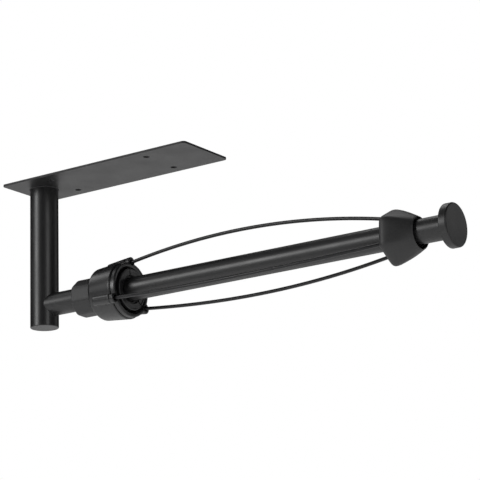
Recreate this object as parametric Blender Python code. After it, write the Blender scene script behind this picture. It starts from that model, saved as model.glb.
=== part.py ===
"""Under-cabinet paper towel holder with a turning, spring-wire spindle.

A flat plate screws up under a cabinet. A round post hangs from one end of the plate and a
round bar runs out from the foot of the post. A hub turns on the bar beside the post, and three
bowed spring wires run from the hub to a nose that slides on the bar, so that the wires press
outwards on the core of the roll. A disc-shaped knob closes the free end of the bar.

Frame: metres, +Z up. The origin is the centre of the plate's top face. +X runs along the bar
from the post to the knob.
"""
import math

import bmesh
import bpy
from mathutils import Matrix, Vector

MM = 0.001
GAP = 0.3 * MM            # left between pieces that touch or are welded
SNUG = 0.6 * MM           # clearance on radius of the snapped-on retainer

# Mounting plate
PLATE_LENGTH = 160.0 * MM
PLATE_WIDTH = 50.0 * MM
PLATE_THICKNESS = 1.5 * MM
PLATE_CORNER_RADIUS = 2.5 * MM
SCREW_HOLE_DIAMETER = 4.5 * MM
SCREW_HOLE_PITCH_X = 85.0 * MM
SCREW_HOLE_PITCH_Y = 31.0 * MM
SCREW_HOLE_SHIFT_X = -1.2 * MM

# Post
POST_DIAMETER = 20.0 * MM
POST_WALL = 1.5 * MM
POST_END_INSET = 17.8 * MM       # post axis to the near end of the plate
POST_DROP = 100.75 * MM          # plate underside to the foot of the post
POST_CAP_THICKNESS = 2.0 * MM
POST_CAP_SPIGOT = 7.0 * MM

# Bar, measured from the post axis
BAR_DIAMETER = 16.0 * MM
BAR_WALL = 1.2 * MM
BAR_ABOVE_FOOT = 15.7 * MM       # foot of the post to the bar axis
BAR_LENGTH = 323.0 * MM          # post axis to the free end
INSERT_LENGTH = 14.0 * MM
STUD_DIAMETER = 6.0 * MM
STUD_LENGTH = 14.0 * MM
STUD_IN_KNOB = 2.6 * MM
KNOB_DIAMETER = 28.3 * MM
KNOB_THICKNESS = 5.6 * MM
KNOB_EDGE_RADIUS = 0.8 * MM

# Spring wires: a bow from the hub to the nose, straight inside both
WIRE_DIAMETER = 2.4 * MM
WIRE_FIRST_ANGLE = math.radians(87.0)    # from +Y towards +Z
WIRE_BOWS = (10.9 * MM, 10.0 * MM, 9.2 * MM)    # each wire's bow, from its chord
WIRE_IN_HUB = 10.0 * MM
BOW_SETBACK = 1.7 * MM           # drum front face to where the bow starts
SOCKET_CLEARANCE = 0.3 * MM

# Hub, fixed sleeve; the hub's bore is loose, so its axis hangs a little below the bar's
HUB_SAG = 0.3 * MM
SLEEVE_START = 33.6 * MM         # post axis to the sleeve's back end
SLEEVE_GRIP_LENGTH = 18.4 * MM
SLEEVE_WALL = 4.05 * MM          # bore to a flat
SLEEVE_EDGE_RADIUS = 1.2 * MM
SLEEVE_SIDES = 8
SLEEVE_TURN = math.radians(20.0)     # angle of the first edge between two flats
SPIGOT_WALL = 2.55 * MM          # of the part of the sleeve that the drum turns on
RING_GROOVE_DEPTH = 1.5 * MM
RING_GROOVE_WIDTH = 2.6 * MM
RING_SECTION_RADIUS = 0.9 * MM
RING_INSET = 4.0 * MM            # drum back face to the middle of the first ring
RING_PITCH = 5.5 * MM
SET_SCREW_DIAMETER = 4.0 * MM
SET_SCREW_ANGLE = math.radians(-63.0)

# Hub, parts that hold the drum on the sleeve, inside the drum's front recess
WASHER_THICKNESS = 0.8 * MM
WASHER_CLEARANCE = 0.8 * MM      # washer to the recess
WAVE_HEIGHT = 0.5 * MM
WAVE_COUNT = 3
RETAINER_LENGTH = 7.7 * MM
RETAINER_WALL = 2.8 * MM
RETAINER_WEB = 1.4 * MM
RETAINER_SLOT = 0.9 * MM
RETAINER_SLOT_ANGLES = (math.radians(100.0), math.radians(207.0), math.radians(315.0))
RETAINER_BEAD = 0.6 * MM
RETAINER_EYE_CLEARANCE = 1.35 * MM    # sleeve's bore to the hole in the retainer's front face

# Hub, turning drum and bezel; their walls are measured from the front recess
RECESS_CLEARANCE = 0.9 * MM      # retainer to the recess
RECESS_DEPTH = 6.0 * MM
DRUM_WEB = 3.55 * MM             # between the damper chamber and the recess
DRUM_BACK_WALL = 2.9 * MM
DRUM_RIM_WALL = 4.5 * MM
DRUM_BACK_ROUNDING = 2.7 * MM
DRUM_RIM_ROUNDING = 0.9 * MM
BEZEL_LENGTH = 3.0 * MM
BEZEL_WALL = 3.7 * MM
BEZEL_DISH = 1.5 * MM            # flare of the bezel's mouth
BEZEL_DISH_DEPTH = 1.4 * MM
BEZEL_ROUNDING = 0.8 * MM
HUB_SOCKET_WALL = 1.6 * MM       # recess to a wire's socket
RIB_WALL = 2.0 * MM              # round a wire's socket
RIB_RISE_BACK = 1.7 * MM         # wire centre to rib centre
RIB_RISE_FRONT = 0.6 * MM
RIB_START = 5.2 * MM             # drum back face to the back end of a rib

# Nose; its bore is loose on the bar, so its axis hangs below the bar's
NOSE_SAG = 0.7 * MM
NOSE_SETBACK = 19.3 * MM         # nose front to the bar's free end
NOSE_LENGTH = 21.7 * MM
NOSE_SIDES = 6
NOSE_SOCKET_WALL = 0.95 * MM     # bore to a wire's socket
NOSE_WALL = 2.4 * MM             # wire's socket to a flat
NOSE_MOUTH_WALL = 0.6 * MM
NOSE_EDGE_ROUNDING = 3.2 * MM
NOSE_SHOULDER = 4.0 * MM
NOSE_TAPER = 1.4                 # over 1 is fuller in the middle
NOSE_HOLE_CLEARANCE = 1.15 * MM  # liner's bore to the hole in the nose's front
NOSE_LIP_CLEARANCE = 0.4 * MM    # liner's bore to the lip that holds the liner in
NOSE_LIP_THICKNESS = 0.8 * MM
NOSE_WIRE_DEPTH = 4.4 * MM
LINER_WALL = 1.1 * MM
LIP_SETBACK = 3.2 * MM           # nose front to the lip
BACK_PLATE_THICKNESS = 1.2 * MM
BACK_PLATE_RIM = 0.5 * MM        # left of the nose's rear face outside the plate
BACK_PLATE_SETBACK = 0.5 * MM

ROUND_STEPS = 40
SMALL_STEPS = 16
BOW_STEPS = 23
SMOOTH_ANGLE = math.radians(35.0)

# Fixed frame
POST_X = POST_END_INSET - PLATE_LENGTH / 2
PLATE_UNDERSIDE = -PLATE_THICKNESS
POST_FOOT = PLATE_UNDERSIDE - POST_DROP
BAR_Z = POST_FOOT + BAR_ABOVE_FOOT
POST_RADIUS = POST_DIAMETER / 2
BAR_RADIUS = BAR_DIAMETER / 2
BAR_BORE = BAR_RADIUS - BAR_WALL
WIRE_RADIUS = WIRE_DIAMETER / 2
SOCKET_RADIUS = WIRE_RADIUS + SOCKET_CLEARANCE
WIRE_COUNT = len(WIRE_BOWS)

# Hub, radii from the bore outwards
SLEEVE_BORE = BAR_RADIUS + HUB_SAG + GAP / 2
SLEEVE_FLAT_RADIUS = SLEEVE_BORE + SLEEVE_WALL
SPIGOT_RADIUS = SLEEVE_BORE + SPIGOT_WALL
BEARING_RADIUS = SPIGOT_RADIUS + GAP
RING_RADIUS = SPIGOT_RADIUS - RING_GROOVE_DEPTH + GAP + RING_SECTION_RADIUS
RING_CHAMBER = RING_RADIUS + RING_SECTION_RADIUS + GAP
RETAINER_EYE = SLEEVE_BORE + RETAINER_EYE_CLEARANCE
RETAINER_BORE = SPIGOT_RADIUS + SNUG
RETAINER_RADIUS = RETAINER_BORE + RETAINER_WALL
RECESS_RADIUS = RETAINER_RADIUS + RECESS_CLEARANCE
WASHER_RADIUS = RECESS_RADIUS - WASHER_CLEARANCE
DRUM_BACK_RADIUS = RECESS_RADIUS + DRUM_BACK_WALL
DRUM_RIM_RADIUS = RECESS_RADIUS + DRUM_RIM_WALL
BEZEL_RADIUS = RECESS_RADIUS + BEZEL_WALL
BEZEL_DISH_RADIUS = RECESS_RADIUS + BEZEL_DISH
WIRE_HUB_RADIUS = RECESS_RADIUS + HUB_SOCKET_WALL + SOCKET_RADIUS
RIB_RADIUS = SOCKET_RADIUS + RIB_WALL

# Hub, places along the bar
GRIP_END = SLEEVE_START + SLEEVE_GRIP_LENGTH
DRUM_START = GRIP_END + GAP
RING_MIDDLES = (DRUM_START + RING_INSET, DRUM_START + RING_INSET + RING_PITCH)
CHAMBER_END = RING_MIDDLES[1] + 0.75 * RING_GROOVE_WIDTH
WEB_FRONT = CHAMBER_END + DRUM_WEB
DRUM_END = WEB_FRONT + RECESS_DEPTH
BEZEL_START = DRUM_END + GAP
BEZEL_END = BEZEL_START + BEZEL_LENGTH
THRUST_START = WEB_FRONT + GAP
WAVE_START = THRUST_START + WASHER_THICKNESS + GAP
RETAINER_START = WAVE_START + WASHER_THICKNESS + WAVE_HEIGHT + GAP
RETAINER_END = RETAINER_START + RETAINER_LENGTH
SPIGOT_END = RETAINER_END - RETAINER_WEB - GAP

# Nose
NOSE_END = BAR_LENGTH - NOSE_SETBACK
NOSE_START = NOSE_END - NOSE_LENGTH
LINER_BORE = BAR_RADIUS + NOSE_SAG + GAP / 2
LINER_RADIUS = LINER_BORE + LINER_WALL
NOSE_BORE = LINER_RADIUS + GAP
NOSE_HOLE_RADIUS = LINER_BORE + NOSE_HOLE_CLEARANCE
NOSE_LIP_RADIUS = LINER_BORE + NOSE_LIP_CLEARANCE
NOSE_MOUTH_RADIUS = NOSE_HOLE_RADIUS + NOSE_MOUTH_WALL
WIRE_NOSE_RADIUS = NOSE_BORE + NOSE_SOCKET_WALL + SOCKET_RADIUS
NOSE_FLAT_RADIUS = WIRE_NOSE_RADIUS + SOCKET_RADIUS + NOSE_WALL
BACK_PLATE_RADIUS = NOSE_FLAT_RADIUS - NOSE_EDGE_ROUNDING - BACK_PLATE_RIM - GAP
BOW_START = DRUM_END - BOW_SETBACK
BOW_LENGTH = NOSE_START - BOW_START


# ---------------------------------------------------------------- helpers

def material(name, colour, roughness, metallic=0.0):
    made = bpy.data.materials.new(name)
    made.use_nodes = True
    shader = made.node_tree.nodes["Principled BSDF"]
    shader.inputs["Base Color"].default_value = (*colour, 1.0)
    shader.inputs["Roughness"].default_value = roughness
    shader.inputs["Metallic"].default_value = metallic
    return made


def add_object(name, data, look, place=(0.0, 0.0, 0.0), parent=None):
    made = bpy.data.objects.new(name, data)
    made.location = place
    made.parent = parent
    if look:
        data.materials.append(look)
    bpy.context.scene.collection.objects.link(made)
    return made


def add_mesh(name, build, look, place=(0.0, 0.0, 0.0), parent=None):
    """Make an object from a bmesh, with its faces pointing out and its round sides smooth."""
    bmesh.ops.remove_doubles(build, verts=build.verts, dist=1e-7)
    bmesh.ops.recalc_face_normals(build, faces=build.faces)
    data = bpy.data.meshes.new(name)
    build.to_mesh(data)
    build.free()
    data.shade_smooth()
    data.set_sharp_from_angle(angle=SMOOTH_ANGLE)
    return add_object(name, data, look, place, parent)


def circle(along, radius, steps=ROUND_STEPS):
    """Points of a circle about the X axis, starting at +Y."""
    turn = 2 * math.pi / steps
    return [Vector((along, radius * math.cos(i * turn), radius * math.sin(i * turn)))
            for i in range(steps)]


def soft_polygon(along, flat_radius, turn, sides, roundness=0.0):
    """Points of a polygon with soft edges about the X axis; roundness 1 makes it a circle."""
    sharpness = 2.7 * sides
    points = []
    for i in range(ROUND_STEPS):
        angle = 2 * math.pi * i / ROUND_STEPS
        total = 0.0
        for side in range(sides):
            facing = math.cos(angle - turn - (side + 0.5) * 2 * math.pi / sides)
            total += max(facing, 0.0) ** sharpness
        radius = flat_radius * total ** (-1 / sharpness)
        radius += roundness * (flat_radius - radius)
        points.append(Vector((along, radius * math.cos(angle), radius * math.sin(angle))))
    return points


def loft(rings, closed):
    """Join rings of points into a surface; closed joins the last ring back to the first."""
    build = bmesh.new()
    loops = [[build.verts.new(point) for point in ring] for ring in rings]
    pairs = list(zip(loops, loops[1:]))
    if closed:
        pairs.append((loops[-1], loops[0]))
    for near, far in pairs:
        for i in range(len(near)):
            j = (i + 1) % len(near)
            build.faces.new((near[i], near[j], far[j], far[i]))
    bmesh.ops.remove_doubles(build, verts=build.verts, dist=1e-7)
    return build


def turned(outline, steps=ROUND_STEPS, closed=True):
    """Spin an outline of (along, radius) points about the X axis."""
    return loft([circle(along, radius, steps) for along, radius in outline], closed)


def rounded(corner, start, end, radius, steps=3):
    """Points of a quarter round that replaces a corner, from the start side to the end side."""
    corner, start, end = Vector(corner), Vector(start), Vector(end)
    into = (start - corner).normalized()
    out = (end - corner).normalized()
    centre = corner + (into + out) * radius
    points = []
    for i in range(steps + 1):
        angle = math.pi / 2 * i / steps
        points.append(tuple(centre - radius * (out * math.cos(angle) + into * math.sin(angle))))
    return points


def cutter(name, build, parent=None):
    tool = add_mesh(name, build, None, parent=parent)
    tool.hide_render = True
    tool.display_type = "WIRE"
    return tool


def combine(target, tool, operation):
    step = target.modifiers.new(tool.name, "BOOLEAN")
    step.operation = operation
    step.solver = "EXACT"
    step.object = tool


def wire_angle(index):
    """Angle of a wire round the bar, from +Y towards +Z."""
    return WIRE_FIRST_ANGLE + index * 2 * math.pi / WIRE_COUNT


def wire_point(index, along):
    """Centre of a wire at a distance from the post axis, measured from the hub's axis.

    Inside the hub the wire runs on straight; inside the nose it runs along the bar.
    """
    share = (along - BOW_START) / BOW_LENGTH
    held = min(max(share, 0.0), 1.0)
    fall = WIRE_NOSE_RADIUS - WIRE_HUB_RADIUS
    bow = 4 * WIRE_BOWS[index]
    radius = WIRE_HUB_RADIUS + held * fall + bow * held * (1 - held)
    radius += min(share, 0.0) * (fall + bow)
    sag = (NOSE_SAG - HUB_SAG) * held
    angle = wire_angle(index)
    return Vector((along, radius * math.cos(angle), radius * math.sin(angle) - sag))


def along_wire(index, outline, start, end, rises=(0.0, 0.0)):
    """Turn an outline about a wire's chord from start to end, raised outwards at each.

    The outline's distances run from 0 at the start to 1 at the end.
    """
    angle = wire_angle(index)
    out = Vector((0.0, math.cos(angle), math.sin(angle)))
    foot = wire_point(index, start) + rises[0] * out
    chord = wire_point(index, end) + rises[1] * out - foot
    build = turned([(share * chord.length, radius) for share, radius in outline],
                   SMALL_STEPS, closed=False)
    turn = Vector((1.0, 0.0, 0.0)).rotation_difference(chord).to_matrix().to_4x4()
    build.transform(Matrix.Translation(foot) @ turn)
    return build


def place_round(tool, angle):
    """Turn a piece that was made above the bar, at +Z, to an angle from +Y towards +Z."""
    tool.rotation_euler = (angle - math.pi / 2, 0.0, 0.0)


# ---------------------------------------------------------------- fixed frame

def make_plate(look):
    half_x = PLATE_LENGTH / 2 - PLATE_CORNER_RADIUS
    half_y = PLATE_WIDTH / 2 - PLATE_CORNER_RADIUS
    outline = []
    for quarter, (side_x, side_y) in enumerate(((1, 1), (-1, 1), (-1, -1), (1, -1))):
        for i in range(7):
            angle = math.pi / 2 * (quarter + i / 6)
            outline.append(Vector((side_x * half_x + PLATE_CORNER_RADIUS * math.cos(angle),
                                   side_y * half_y + PLATE_CORNER_RADIUS * math.sin(angle), 0.0)))
    build = bmesh.new()
    top = build.faces.new([build.verts.new(point) for point in outline])
    below = bmesh.ops.extrude_face_region(build, geom=[top])["geom"]
    moved = [item for item in below if isinstance(item, bmesh.types.BMVert)]
    bmesh.ops.translate(build, verts=moved, vec=(0.0, 0.0, -PLATE_THICKNESS))
    plate = add_mesh("mounting_plate", build, look)
    for side_x in (-1, 1):
        for side_y in (-1, 1):
            hole = bmesh.new()
            bmesh.ops.create_cone(hole, cap_ends=True, segments=SMALL_STEPS,
                                  radius1=SCREW_HOLE_DIAMETER / 2, radius2=SCREW_HOLE_DIAMETER / 2,
                                  depth=4 * PLATE_THICKNESS)
            place = Vector((SCREW_HOLE_SHIFT_X + side_x * SCREW_HOLE_PITCH_X / 2,
                            side_y * SCREW_HOLE_PITCH_Y / 2, 0.0))
            bmesh.ops.translate(hole, verts=hole.verts, vec=place)
            combine(plate, cutter(f"screw_hole_{side_x}_{side_y}", hole), "DIFFERENCE")


def upright(build):
    """Stand a piece made along +X on end, so that +X becomes -Z."""
    build.transform(Matrix.Rotation(math.pi / 2, 4, "Y"))
    return build


def make_post(look):
    bore = POST_RADIUS - POST_WALL
    tube_end = POST_DROP - POST_CAP_THICKNESS - GAP
    tube = turned([(GAP, bore), (GAP, POST_RADIUS), (tube_end, POST_RADIUS), (tube_end, bore)])
    place = (POST_X, 0.0, PLATE_UNDERSIDE)
    add_mesh("post_tube", upright(tube), look, place)
    disc_top = POST_DROP - POST_CAP_THICKNESS
    plug = bore - GAP
    cap = turned([(disc_top - POST_CAP_SPIGOT, 0.0), (disc_top - POST_CAP_SPIGOT, plug),
                  (disc_top, plug), (disc_top, POST_RADIUS), (POST_DROP, POST_RADIUS),
                  (POST_DROP, 0.0)], closed=False)
    add_mesh("post_end_cap", upright(cap), look, place)


def make_bar(look, axis):
    tube = add_mesh("bar_tube", turned([(0.0, BAR_BORE), (0.0, BAR_RADIUS), (BAR_LENGTH, BAR_RADIUS),
                                        (BAR_LENGTH, BAR_BORE)]), look, parent=axis)
    saddle = bmesh.new()
    bmesh.ops.create_cone(saddle, cap_ends=True, segments=2 * ROUND_STEPS,
                          radius1=POST_RADIUS + GAP, radius2=POST_RADIUS + GAP,
                          depth=3 * BAR_DIAMETER)
    combine(tube, cutter("bar_saddle", saddle, axis), "DIFFERENCE")


def make_knob(look, bright, axis):
    back = BAR_LENGTH + GAP
    front = back + KNOB_THICKNESS
    radius = KNOB_DIAMETER / 2
    hole = STUD_DIAMETER / 2 + GAP
    outline = [(back + STUD_IN_KNOB + GAP, 0.0), (back + STUD_IN_KNOB + GAP, hole), (back, hole)]
    outline += rounded((back, radius), (back, 0.0), (front, radius), KNOB_EDGE_RADIUS)
    outline += rounded((front, radius), (back, radius), (front, 0.0), KNOB_EDGE_RADIUS)
    outline.append((front, 0.0))
    add_mesh("knob_disc", turned(outline, closed=False), look, parent=axis)

    stud_end = back + STUD_IN_KNOB
    stud_start = stud_end - STUD_LENGTH
    chamfer = STUD_DIAMETER / 12
    stud = turned([(stud_start, 0.0), (stud_start, STUD_DIAMETER / 2 - chamfer),
                   (stud_start + chamfer, STUD_DIAMETER / 2),
                   (stud_end - chamfer, STUD_DIAMETER / 2),
                   (stud_end, STUD_DIAMETER / 2 - chamfer), (stud_end, 0.0)], SMALL_STEPS, closed=False)
    add_mesh("knob_stud", stud, bright, parent=axis)

    insert_start = BAR_LENGTH - INSERT_LENGTH
    plug = BAR_BORE - GAP
    insert = turned([(insert_start, hole), (insert_start, plug), (BAR_LENGTH, plug),
                     (BAR_LENGTH, hole)], 2 * SMALL_STEPS)
    add_mesh("bar_end_insert", insert, bright, parent=axis)


# ---------------------------------------------------------------- hub

def make_sleeve(look, bright, axis):
    rings = [circle(SLEEVE_START, SLEEVE_BORE)]
    for i in range(4):
        angle = math.pi / 2 * i / 3
        rings.append(soft_polygon(SLEEVE_START + SLEEVE_EDGE_RADIUS * (1 - math.cos(angle)),
                                  SLEEVE_FLAT_RADIUS - SLEEVE_EDGE_RADIUS * (1 - math.sin(angle)),
                                  SLEEVE_TURN, SLEEVE_SIDES))
    rings.append(soft_polygon(GRIP_END, SLEEVE_FLAT_RADIUS, SLEEVE_TURN, SLEEVE_SIDES))
    groove = SPIGOT_RADIUS - RING_GROOVE_DEPTH
    outline = [(GRIP_END, SPIGOT_RADIUS)]
    for middle in RING_MIDDLES:
        start = middle - RING_GROOVE_WIDTH / 2
        end = start + RING_GROOVE_WIDTH
        outline += [(start, SPIGOT_RADIUS), (start, groove), (end, groove), (end, SPIGOT_RADIUS)]
    bead_start, bead_end = retainer_bead()
    snap = RETAINER_BORE - RETAINER_BEAD - GAP
    outline += [(bead_start - GAP, SPIGOT_RADIUS), (bead_start - GAP, snap),
                (bead_end + GAP, snap), (bead_end + GAP, SPIGOT_RADIUS),
                (SPIGOT_END, SPIGOT_RADIUS), (SPIGOT_END, SLEEVE_BORE)]
    rings += [circle(along, radius) for along, radius in outline]
    sleeve = add_mesh("base_sleeve", loft(rings, closed=True), look, parent=axis)

    place = SLEEVE_START + SLEEVE_GRIP_LENGTH / 2
    screw = SET_SCREW_DIAMETER / 2
    hole = bmesh.new()
    bmesh.ops.create_cone(hole, cap_ends=True, segments=SMALL_STEPS, radius1=screw + GAP,
                          radius2=screw + GAP, depth=2 * SLEEVE_FLAT_RADIUS)
    hole.transform(Matrix.Translation((place, 0.0, 1.5 * SLEEVE_FLAT_RADIUS)))
    tool = cutter("set_screw_hole", hole, axis)
    place_round(tool, SET_SCREW_ANGLE)
    combine(sleeve, tool, "DIFFERENCE")

    foot = SLEEVE_BORE - GAP / 2 - HUB_SAG * math.sin(SET_SCREW_ANGLE)
    head = SLEEVE_FLAT_RADIUS - GAP
    socket = screw / 2
    grub = turned([(foot, 0.0), (foot, screw / 2), (foot + screw / 2, screw), (head, screw),
                   (head, socket), (head - socket, socket), (head - socket, 0.0)],
                  SMALL_STEPS, closed=False)
    grub.transform(Matrix.Translation((place, 0.0, 0.0)) @ Matrix.Rotation(-math.pi / 2, 4, "Y"))
    place_round(add_mesh("sleeve_set_screw", grub, bright, parent=axis), SET_SCREW_ANGLE)


def retainer_bead():
    """Start and end of the retainer's inner bead, along the bar."""
    start = RETAINER_START + 2 * RETAINER_BEAD
    return start, start + 2 * RETAINER_BEAD


def make_damper_rings(look, axis):
    for name, middle in zip(("damper_ring_back", "damper_ring_front"), RING_MIDDLES):
        outline = []
        for i in range(8):
            angle = 2 * math.pi * i / 8
            outline.append((middle + RING_SECTION_RADIUS * math.cos(angle),
                            RING_RADIUS + RING_SECTION_RADIUS * math.sin(angle)))
        add_mesh(name, turned(outline, 2 * SMALL_STEPS), look, parent=axis)


def make_washers(plain, bright, axis):
    bore = BEARING_RADIUS
    thrust = turned([(THRUST_START, bore), (THRUST_START, WASHER_RADIUS),
                     (THRUST_START + WASHER_THICKNESS, WASHER_RADIUS),
                     (THRUST_START + WASHER_THICKNESS, bore)])
    add_mesh("thrust_washer", thrust, plain, parent=axis)

    rings = []
    for along, radius in ((0.0, bore), (0.0, RETAINER_RADIUS), (WASHER_THICKNESS, RETAINER_RADIUS),
                          (WASHER_THICKNESS, bore)):
        ring = circle(WAVE_START + along, radius)
        for i, point in enumerate(ring):
            swing = 1 + math.cos(2 * math.pi * WAVE_COUNT * i / len(ring))
            point.x += WAVE_HEIGHT / 2 * swing
        rings.append(ring)
    add_mesh("wave_washer", loft(rings, closed=True), bright, parent=axis)


def make_retainer(look, axis):
    bead_start, bead_end = retainer_bead()
    bead = RETAINER_BORE - RETAINER_BEAD
    web = RETAINER_END - RETAINER_WEB
    edge = RETAINER_WEB / 2
    outline = [(RETAINER_START, RETAINER_BORE), (RETAINER_START, RETAINER_RADIUS)]
    outline += rounded((RETAINER_END, RETAINER_RADIUS), (RETAINER_START, RETAINER_RADIUS),
                       (RETAINER_END, 0.0), edge)
    outline += [(RETAINER_END, RETAINER_EYE), (web, RETAINER_EYE), (web, RETAINER_BORE),
                (bead_end, RETAINER_BORE), (bead_end, bead), (bead_start, bead),
                (bead_start, RETAINER_BORE)]
    bush = add_mesh("retainer_bush", turned(outline), look, parent=axis)
    slot_start = bead_end + GAP
    for i, angle in enumerate(RETAINER_SLOT_ANGLES):
        slot = bmesh.new()
        bmesh.ops.create_cube(slot, size=1.0)
        length = 2 * (RETAINER_END - slot_start)
        slot.transform(Matrix.Translation((slot_start + length / 2, 0.0, RETAINER_RADIUS))
                       @ Matrix.Diagonal((length, RETAINER_SLOT, RETAINER_RADIUS, 1.0)))
        tool = cutter(f"retainer_slot_{i}", slot, axis)
        place_round(tool, angle)
        combine(bush, tool, "DIFFERENCE")


def make_drum(look, axis):
    outer = [(DRUM_START, 0.0)]
    outer += rounded((DRUM_START, DRUM_BACK_RADIUS), (DRUM_START, 0.0),
                     (DRUM_END, DRUM_BACK_RADIUS), DRUM_BACK_ROUNDING, steps=5)
    outer += rounded((DRUM_END, DRUM_RIM_RADIUS), (DRUM_START, DRUM_RIM_RADIUS), (DRUM_END, 0.0),
                     DRUM_RIM_ROUNDING, steps=2)
    outer.append((DRUM_END, 0.0))
    drum = add_mesh("hub_drum", turned(outer, closed=False), look, parent=axis)
    rib_outline = [(0.0, 0.0), (0.02, 0.55 * RIB_RADIUS), (0.07, 0.85 * RIB_RADIUS),
                   (0.14, RIB_RADIUS), (1.0, RIB_RADIUS), (1.0, 0.0)]
    add_bosses(drum, rib_outline, axis, DRUM_START + RIB_START, DRUM_END + BEZEL_LENGTH)

    lip = DRUM_START + RING_GROOVE_WIDTH / 2
    clear = BEZEL_END + BEZEL_LENGTH
    inside = [(DRUM_START - BEZEL_LENGTH, 0.0), (DRUM_START - BEZEL_LENGTH, BEARING_RADIUS),
              (lip, BEARING_RADIUS), (lip, RING_CHAMBER), (CHAMBER_END, RING_CHAMBER),
              (CHAMBER_END, BEARING_RADIUS), (WEB_FRONT, BEARING_RADIUS),
              (WEB_FRONT, RECESS_RADIUS), (DRUM_END, RECESS_RADIUS),
              (DRUM_END, 2 * DRUM_RIM_RADIUS), (clear, 2 * DRUM_RIM_RADIUS), (clear, 0.0)]
    combine(drum, cutter("drum_inside", turned(inside, closed=False), axis), "DIFFERENCE")
    cut_sockets(drum, axis, BOW_START - WIRE_IN_HUB - SOCKET_CLEARANCE, clear)


def add_bosses(piece, outline, axis, start, end):
    """Join a round boss along each wire onto a piece of the hub."""
    for i in range(WIRE_COUNT):
        boss = along_wire(i, outline, start, end, (RIB_RISE_BACK, RIB_RISE_FRONT))
        combine(piece, cutter(f"{piece.name}_boss_{i}", boss, axis), "UNION")


def cut_sockets(piece, axis, start, end, lead=0.0):
    """Cut the round holes that the wires pass through; lead starts them earlier, in chords."""
    for i in range(WIRE_COUNT):
        hole = along_wire(i, [(-lead, 0.0), (-lead, SOCKET_RADIUS), (1.0, SOCKET_RADIUS),
                              (1.0, 0.0)], start, end)
        combine(piece, cutter(f"{piece.name}_socket_{i}", hole, axis), "DIFFERENCE")


def make_bezel(look, axis):
    outer = [(BEZEL_START, 0.0), (BEZEL_START, BEZEL_RADIUS)]
    outer += rounded((BEZEL_END, BEZEL_RADIUS), (BEZEL_START, BEZEL_RADIUS), (BEZEL_END, 0.0),
                     BEZEL_ROUNDING)
    outer.append((BEZEL_END, 0.0))
    bezel = add_mesh("hub_bezel", turned(outer, closed=False), look, parent=axis)
    button_outline = [(0.0, 0.0), (0.0, RIB_RADIUS), (0.85, RIB_RADIUS), (1.0, 0.75 * RIB_RADIUS),
                      (1.0, 0.0)]
    add_bosses(bezel, button_outline, axis, DRUM_START + RIB_START, BEZEL_END)

    clear = BEZEL_END + BEZEL_LENGTH
    inside = [(DRUM_START, 0.0), (DRUM_START, 2 * BEZEL_RADIUS), (BEZEL_START, 2 * BEZEL_RADIUS),
              (BEZEL_START, RECESS_RADIUS),
              (BEZEL_END - BEZEL_DISH_DEPTH, RECESS_RADIUS), (BEZEL_END, BEZEL_DISH_RADIUS),
              (clear, BEZEL_DISH_RADIUS), (clear, 0.0)]
    combine(bezel, cutter("bezel_inside", turned(inside, closed=False), axis), "DIFFERENCE")
    cut_sockets(bezel, axis, BOW_START - WIRE_IN_HUB, clear)


# ---------------------------------------------------------------- wires and nose

def make_wires(look, axis):
    stops = [BOW_START - WIRE_IN_HUB]
    stops += [BOW_START + BOW_LENGTH * i / BOW_STEPS for i in range(BOW_STEPS + 1)]
    stops.append(NOSE_START + NOSE_WIRE_DEPTH)
    for i in range(WIRE_COUNT):
        name = f"spring_wire_{'abcdef'[i]}"
        line = bpy.data.curves.new(name, "CURVE")
        line.dimensions = "3D"
        line.bevel_depth = WIRE_RADIUS
        line.bevel_resolution = 2
        line.use_fill_caps = True
        line.render_resolution_u = 0
        spline = line.splines.new("POLY")
        spline.points.add(len(stops) - 1)
        for point, along in zip(spline.points, stops):
            point.co = (*wire_point(i, along), 1.0)
        add_object(name, line, look, parent=axis)


def make_nose(look, plain, axis, spinning):
    widest = NOSE_START + NOSE_SHOULDER
    pocket = BACK_PLATE_RADIUS + GAP
    floor = NOSE_START + BACK_PLATE_SETBACK + BACK_PLATE_THICKNESS + GAP
    rings = []
    for i in range(5):
        angle = math.pi / 2 * i / 4
        rings.append(soft_polygon(NOSE_START + NOSE_EDGE_ROUNDING * (1 - math.cos(angle)),
                                  NOSE_FLAT_RADIUS - NOSE_EDGE_ROUNDING * (1 - math.sin(angle)),
                                  WIRE_FIRST_ANGLE, NOSE_SIDES))
    for i in range(9):
        share = i / 8
        radius = NOSE_FLAT_RADIUS + (NOSE_MOUTH_RADIUS - NOSE_FLAT_RADIUS) * share ** NOSE_TAPER
        rings.append(soft_polygon(widest + (NOSE_END - widest) * share, radius,
                                  WIRE_FIRST_ANGLE, NOSE_SIDES, share ** 1.5))
    lip_end = NOSE_END - LIP_SETBACK
    lip_start = lip_end - NOSE_LIP_THICKNESS
    for along, radius in ((NOSE_END, NOSE_HOLE_RADIUS), (lip_end, NOSE_HOLE_RADIUS),
                          (lip_end, NOSE_LIP_RADIUS), (lip_start, NOSE_LIP_RADIUS),
                          (lip_start, NOSE_BORE), (floor, NOSE_BORE), (floor, pocket),
                          (NOSE_START, pocket)):
        rings.append(circle(along, radius))
    cone = add_mesh("nose_cone", loft(rings, closed=True), look, parent=axis)

    plate_start = NOSE_START + BACK_PLATE_SETBACK
    plate_end = plate_start + BACK_PLATE_THICKNESS
    plate = add_mesh("nose_back_plate", turned([(plate_start, NOSE_BORE),
                                                (plate_start, BACK_PLATE_RADIUS),
                                                (plate_end, BACK_PLATE_RADIUS),
                                                (plate_end, NOSE_BORE)]), look, parent=axis)
    for piece in (cone, plate):
        cut_sockets(piece, spinning, NOSE_START, NOSE_START + NOSE_WIRE_DEPTH + SOCKET_CLEARANCE,
                    lead=1.0)

    liner_end = lip_start - GAP
    liner = turned([(plate_start, LINER_BORE), (plate_start, LINER_RADIUS),
                    (liner_end, LINER_RADIUS), (liner_end, LINER_BORE)])
    add_mesh("nose_liner", liner, plain, parent=axis)


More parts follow.
